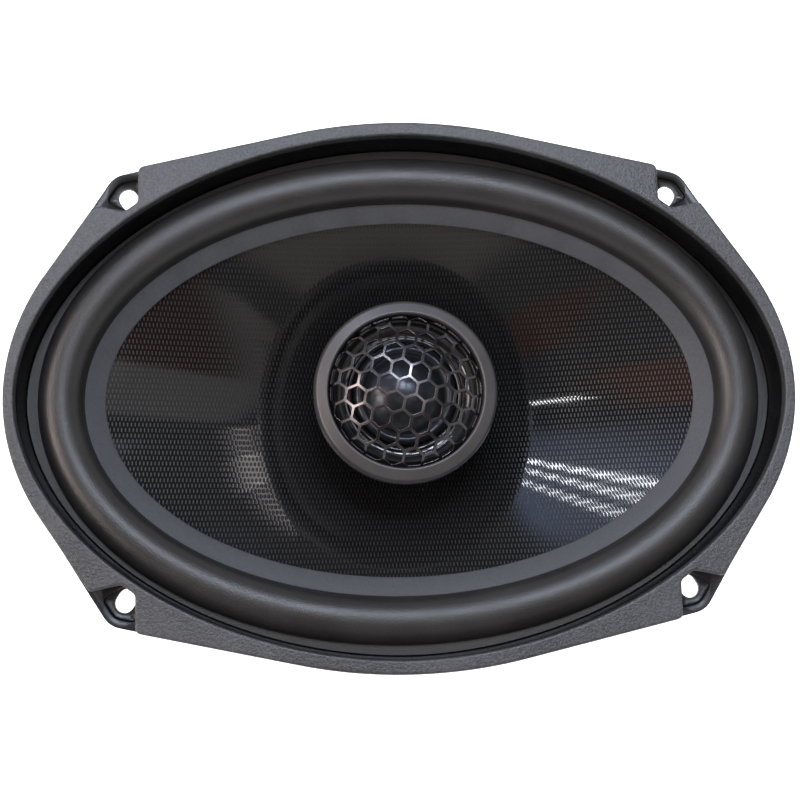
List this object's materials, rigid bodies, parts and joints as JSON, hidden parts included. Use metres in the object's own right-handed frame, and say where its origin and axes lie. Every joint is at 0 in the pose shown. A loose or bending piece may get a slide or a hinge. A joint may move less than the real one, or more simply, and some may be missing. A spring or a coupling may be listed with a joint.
{
  "type": "coaxial car speaker",
  "caption": "Oval coaxial car loudspeaker: pressed frame with slotted ears, gasket, rubber surround, woven cone, ferrite motor and a post-mounted dome tweeter under a domed hexagonal grille.",
  "frame": {"origin": "on the speaker's axis, at the bottom face of the back plate it stands on", "axes": "+Z out of the front along the cone's travel, +X along the long axis of the oval, +Y along the short axis away from the terminals"},
  "size_m": [0.2362, 0.1662, 0.0902],
  "materials": {
    "black_steel": "gloss black electrocoat on pressed steel",
    "gasket_foam": "fine-grained matte foam rubber",
    "surround_rubber": "satin butyl rubber",
    "cone_skin": "gloss black woven-pattern cone",
    "polyimide_film": "amber film",
    "copper_wire": "enamelled copper",
    "felt": "black felt",
    "cotton_cloth": "resin-treated cotton weave",
    "zinc_plate": "bright zinc plating",
    "ferrite": "ground grey-black ferrite",
    "black_plastic": "satin moulded plastic",
    "satin_grey": "satin warm grey paint",
    "dark_nickel": "dark nickel plating",
    "dome_film": "smoked glossy film",
    "nickel_plate": "bright nickel plating",
    "phenolic_board": "brown phenolic board",
    "tin_plate": "bright tin plating",
    "brass": "bright brass",
    "cap_sleeve": "shrink sleeve",
    "tinsel_braid": "braided copper tinsel"
  },
  "bodies": {
    "frame": {"basket": "black_steel", "front_gasket": "gasket_foam", "surround": "surround_rubber", "spider": "cotton_cloth", "t_yoke": "zinc_plate", "magnet_ring": "ferrite", "front_plate": "zinc_plate", "stake_rivet_1": "zinc_plate", "stake_rivet_2": "zinc_plate", "stake_rivet_3": "zinc_plate", "stake_rivet_4": "zinc_plate", "tweeter_post": "black_plastic", "post_screw": "zinc_plate", "tweeter_housing": "black_plastic", "tweeter_bezel": "satin_grey", "tweeter_grille": "dark_nickel", "tweeter_face_plate": "black_plastic", "tweeter_yoke": "zinc_plate", "tweeter_magnet": "nickel_plate", "tweeter_pole_cap": "zinc_plate", "terminal_board": "phenolic_board", "terminal_positive": "tin_plate", "terminal_rivet_positive": "brass", "terminal_negative": "tin_plate", "terminal_rivet_negative": "brass", "crossover_capacitor": "cap_sleeve", "tinsel_lead_positive": "tinsel_braid", "tinsel_lead_negative": "tinsel_braid"},
    "cone_assembly": {"cone": "cone_skin", "voice_coil_former": "polyimide_film", "voice_coil_winding": "copper_wire", "dust_seal": "felt"},
    "tweeter_diaphragm": {"tweeter_dome": "dome_film", "tweeter_coil": "copper_wire"}
  },
  "joints": [
    {"name": "cone_travel", "type": "slide", "parent": "frame", "child": "cone_assembly", "axis": [0, 0, 1], "range_m": [-0.005, 0.005], "stiffness_N_per_m": 1800, "deforming": ["surround", "spider", "tinsel_lead_positive", "tinsel_lead_negative"]},
    {"name": "tweeter_travel", "type": "slide", "parent": "frame", "child": "tweeter_diaphragm", "axis": [0, 0, 1], "range_m": [-0.0003, 0.0003], "stiffness_N_per_m": 900}
  ]
}
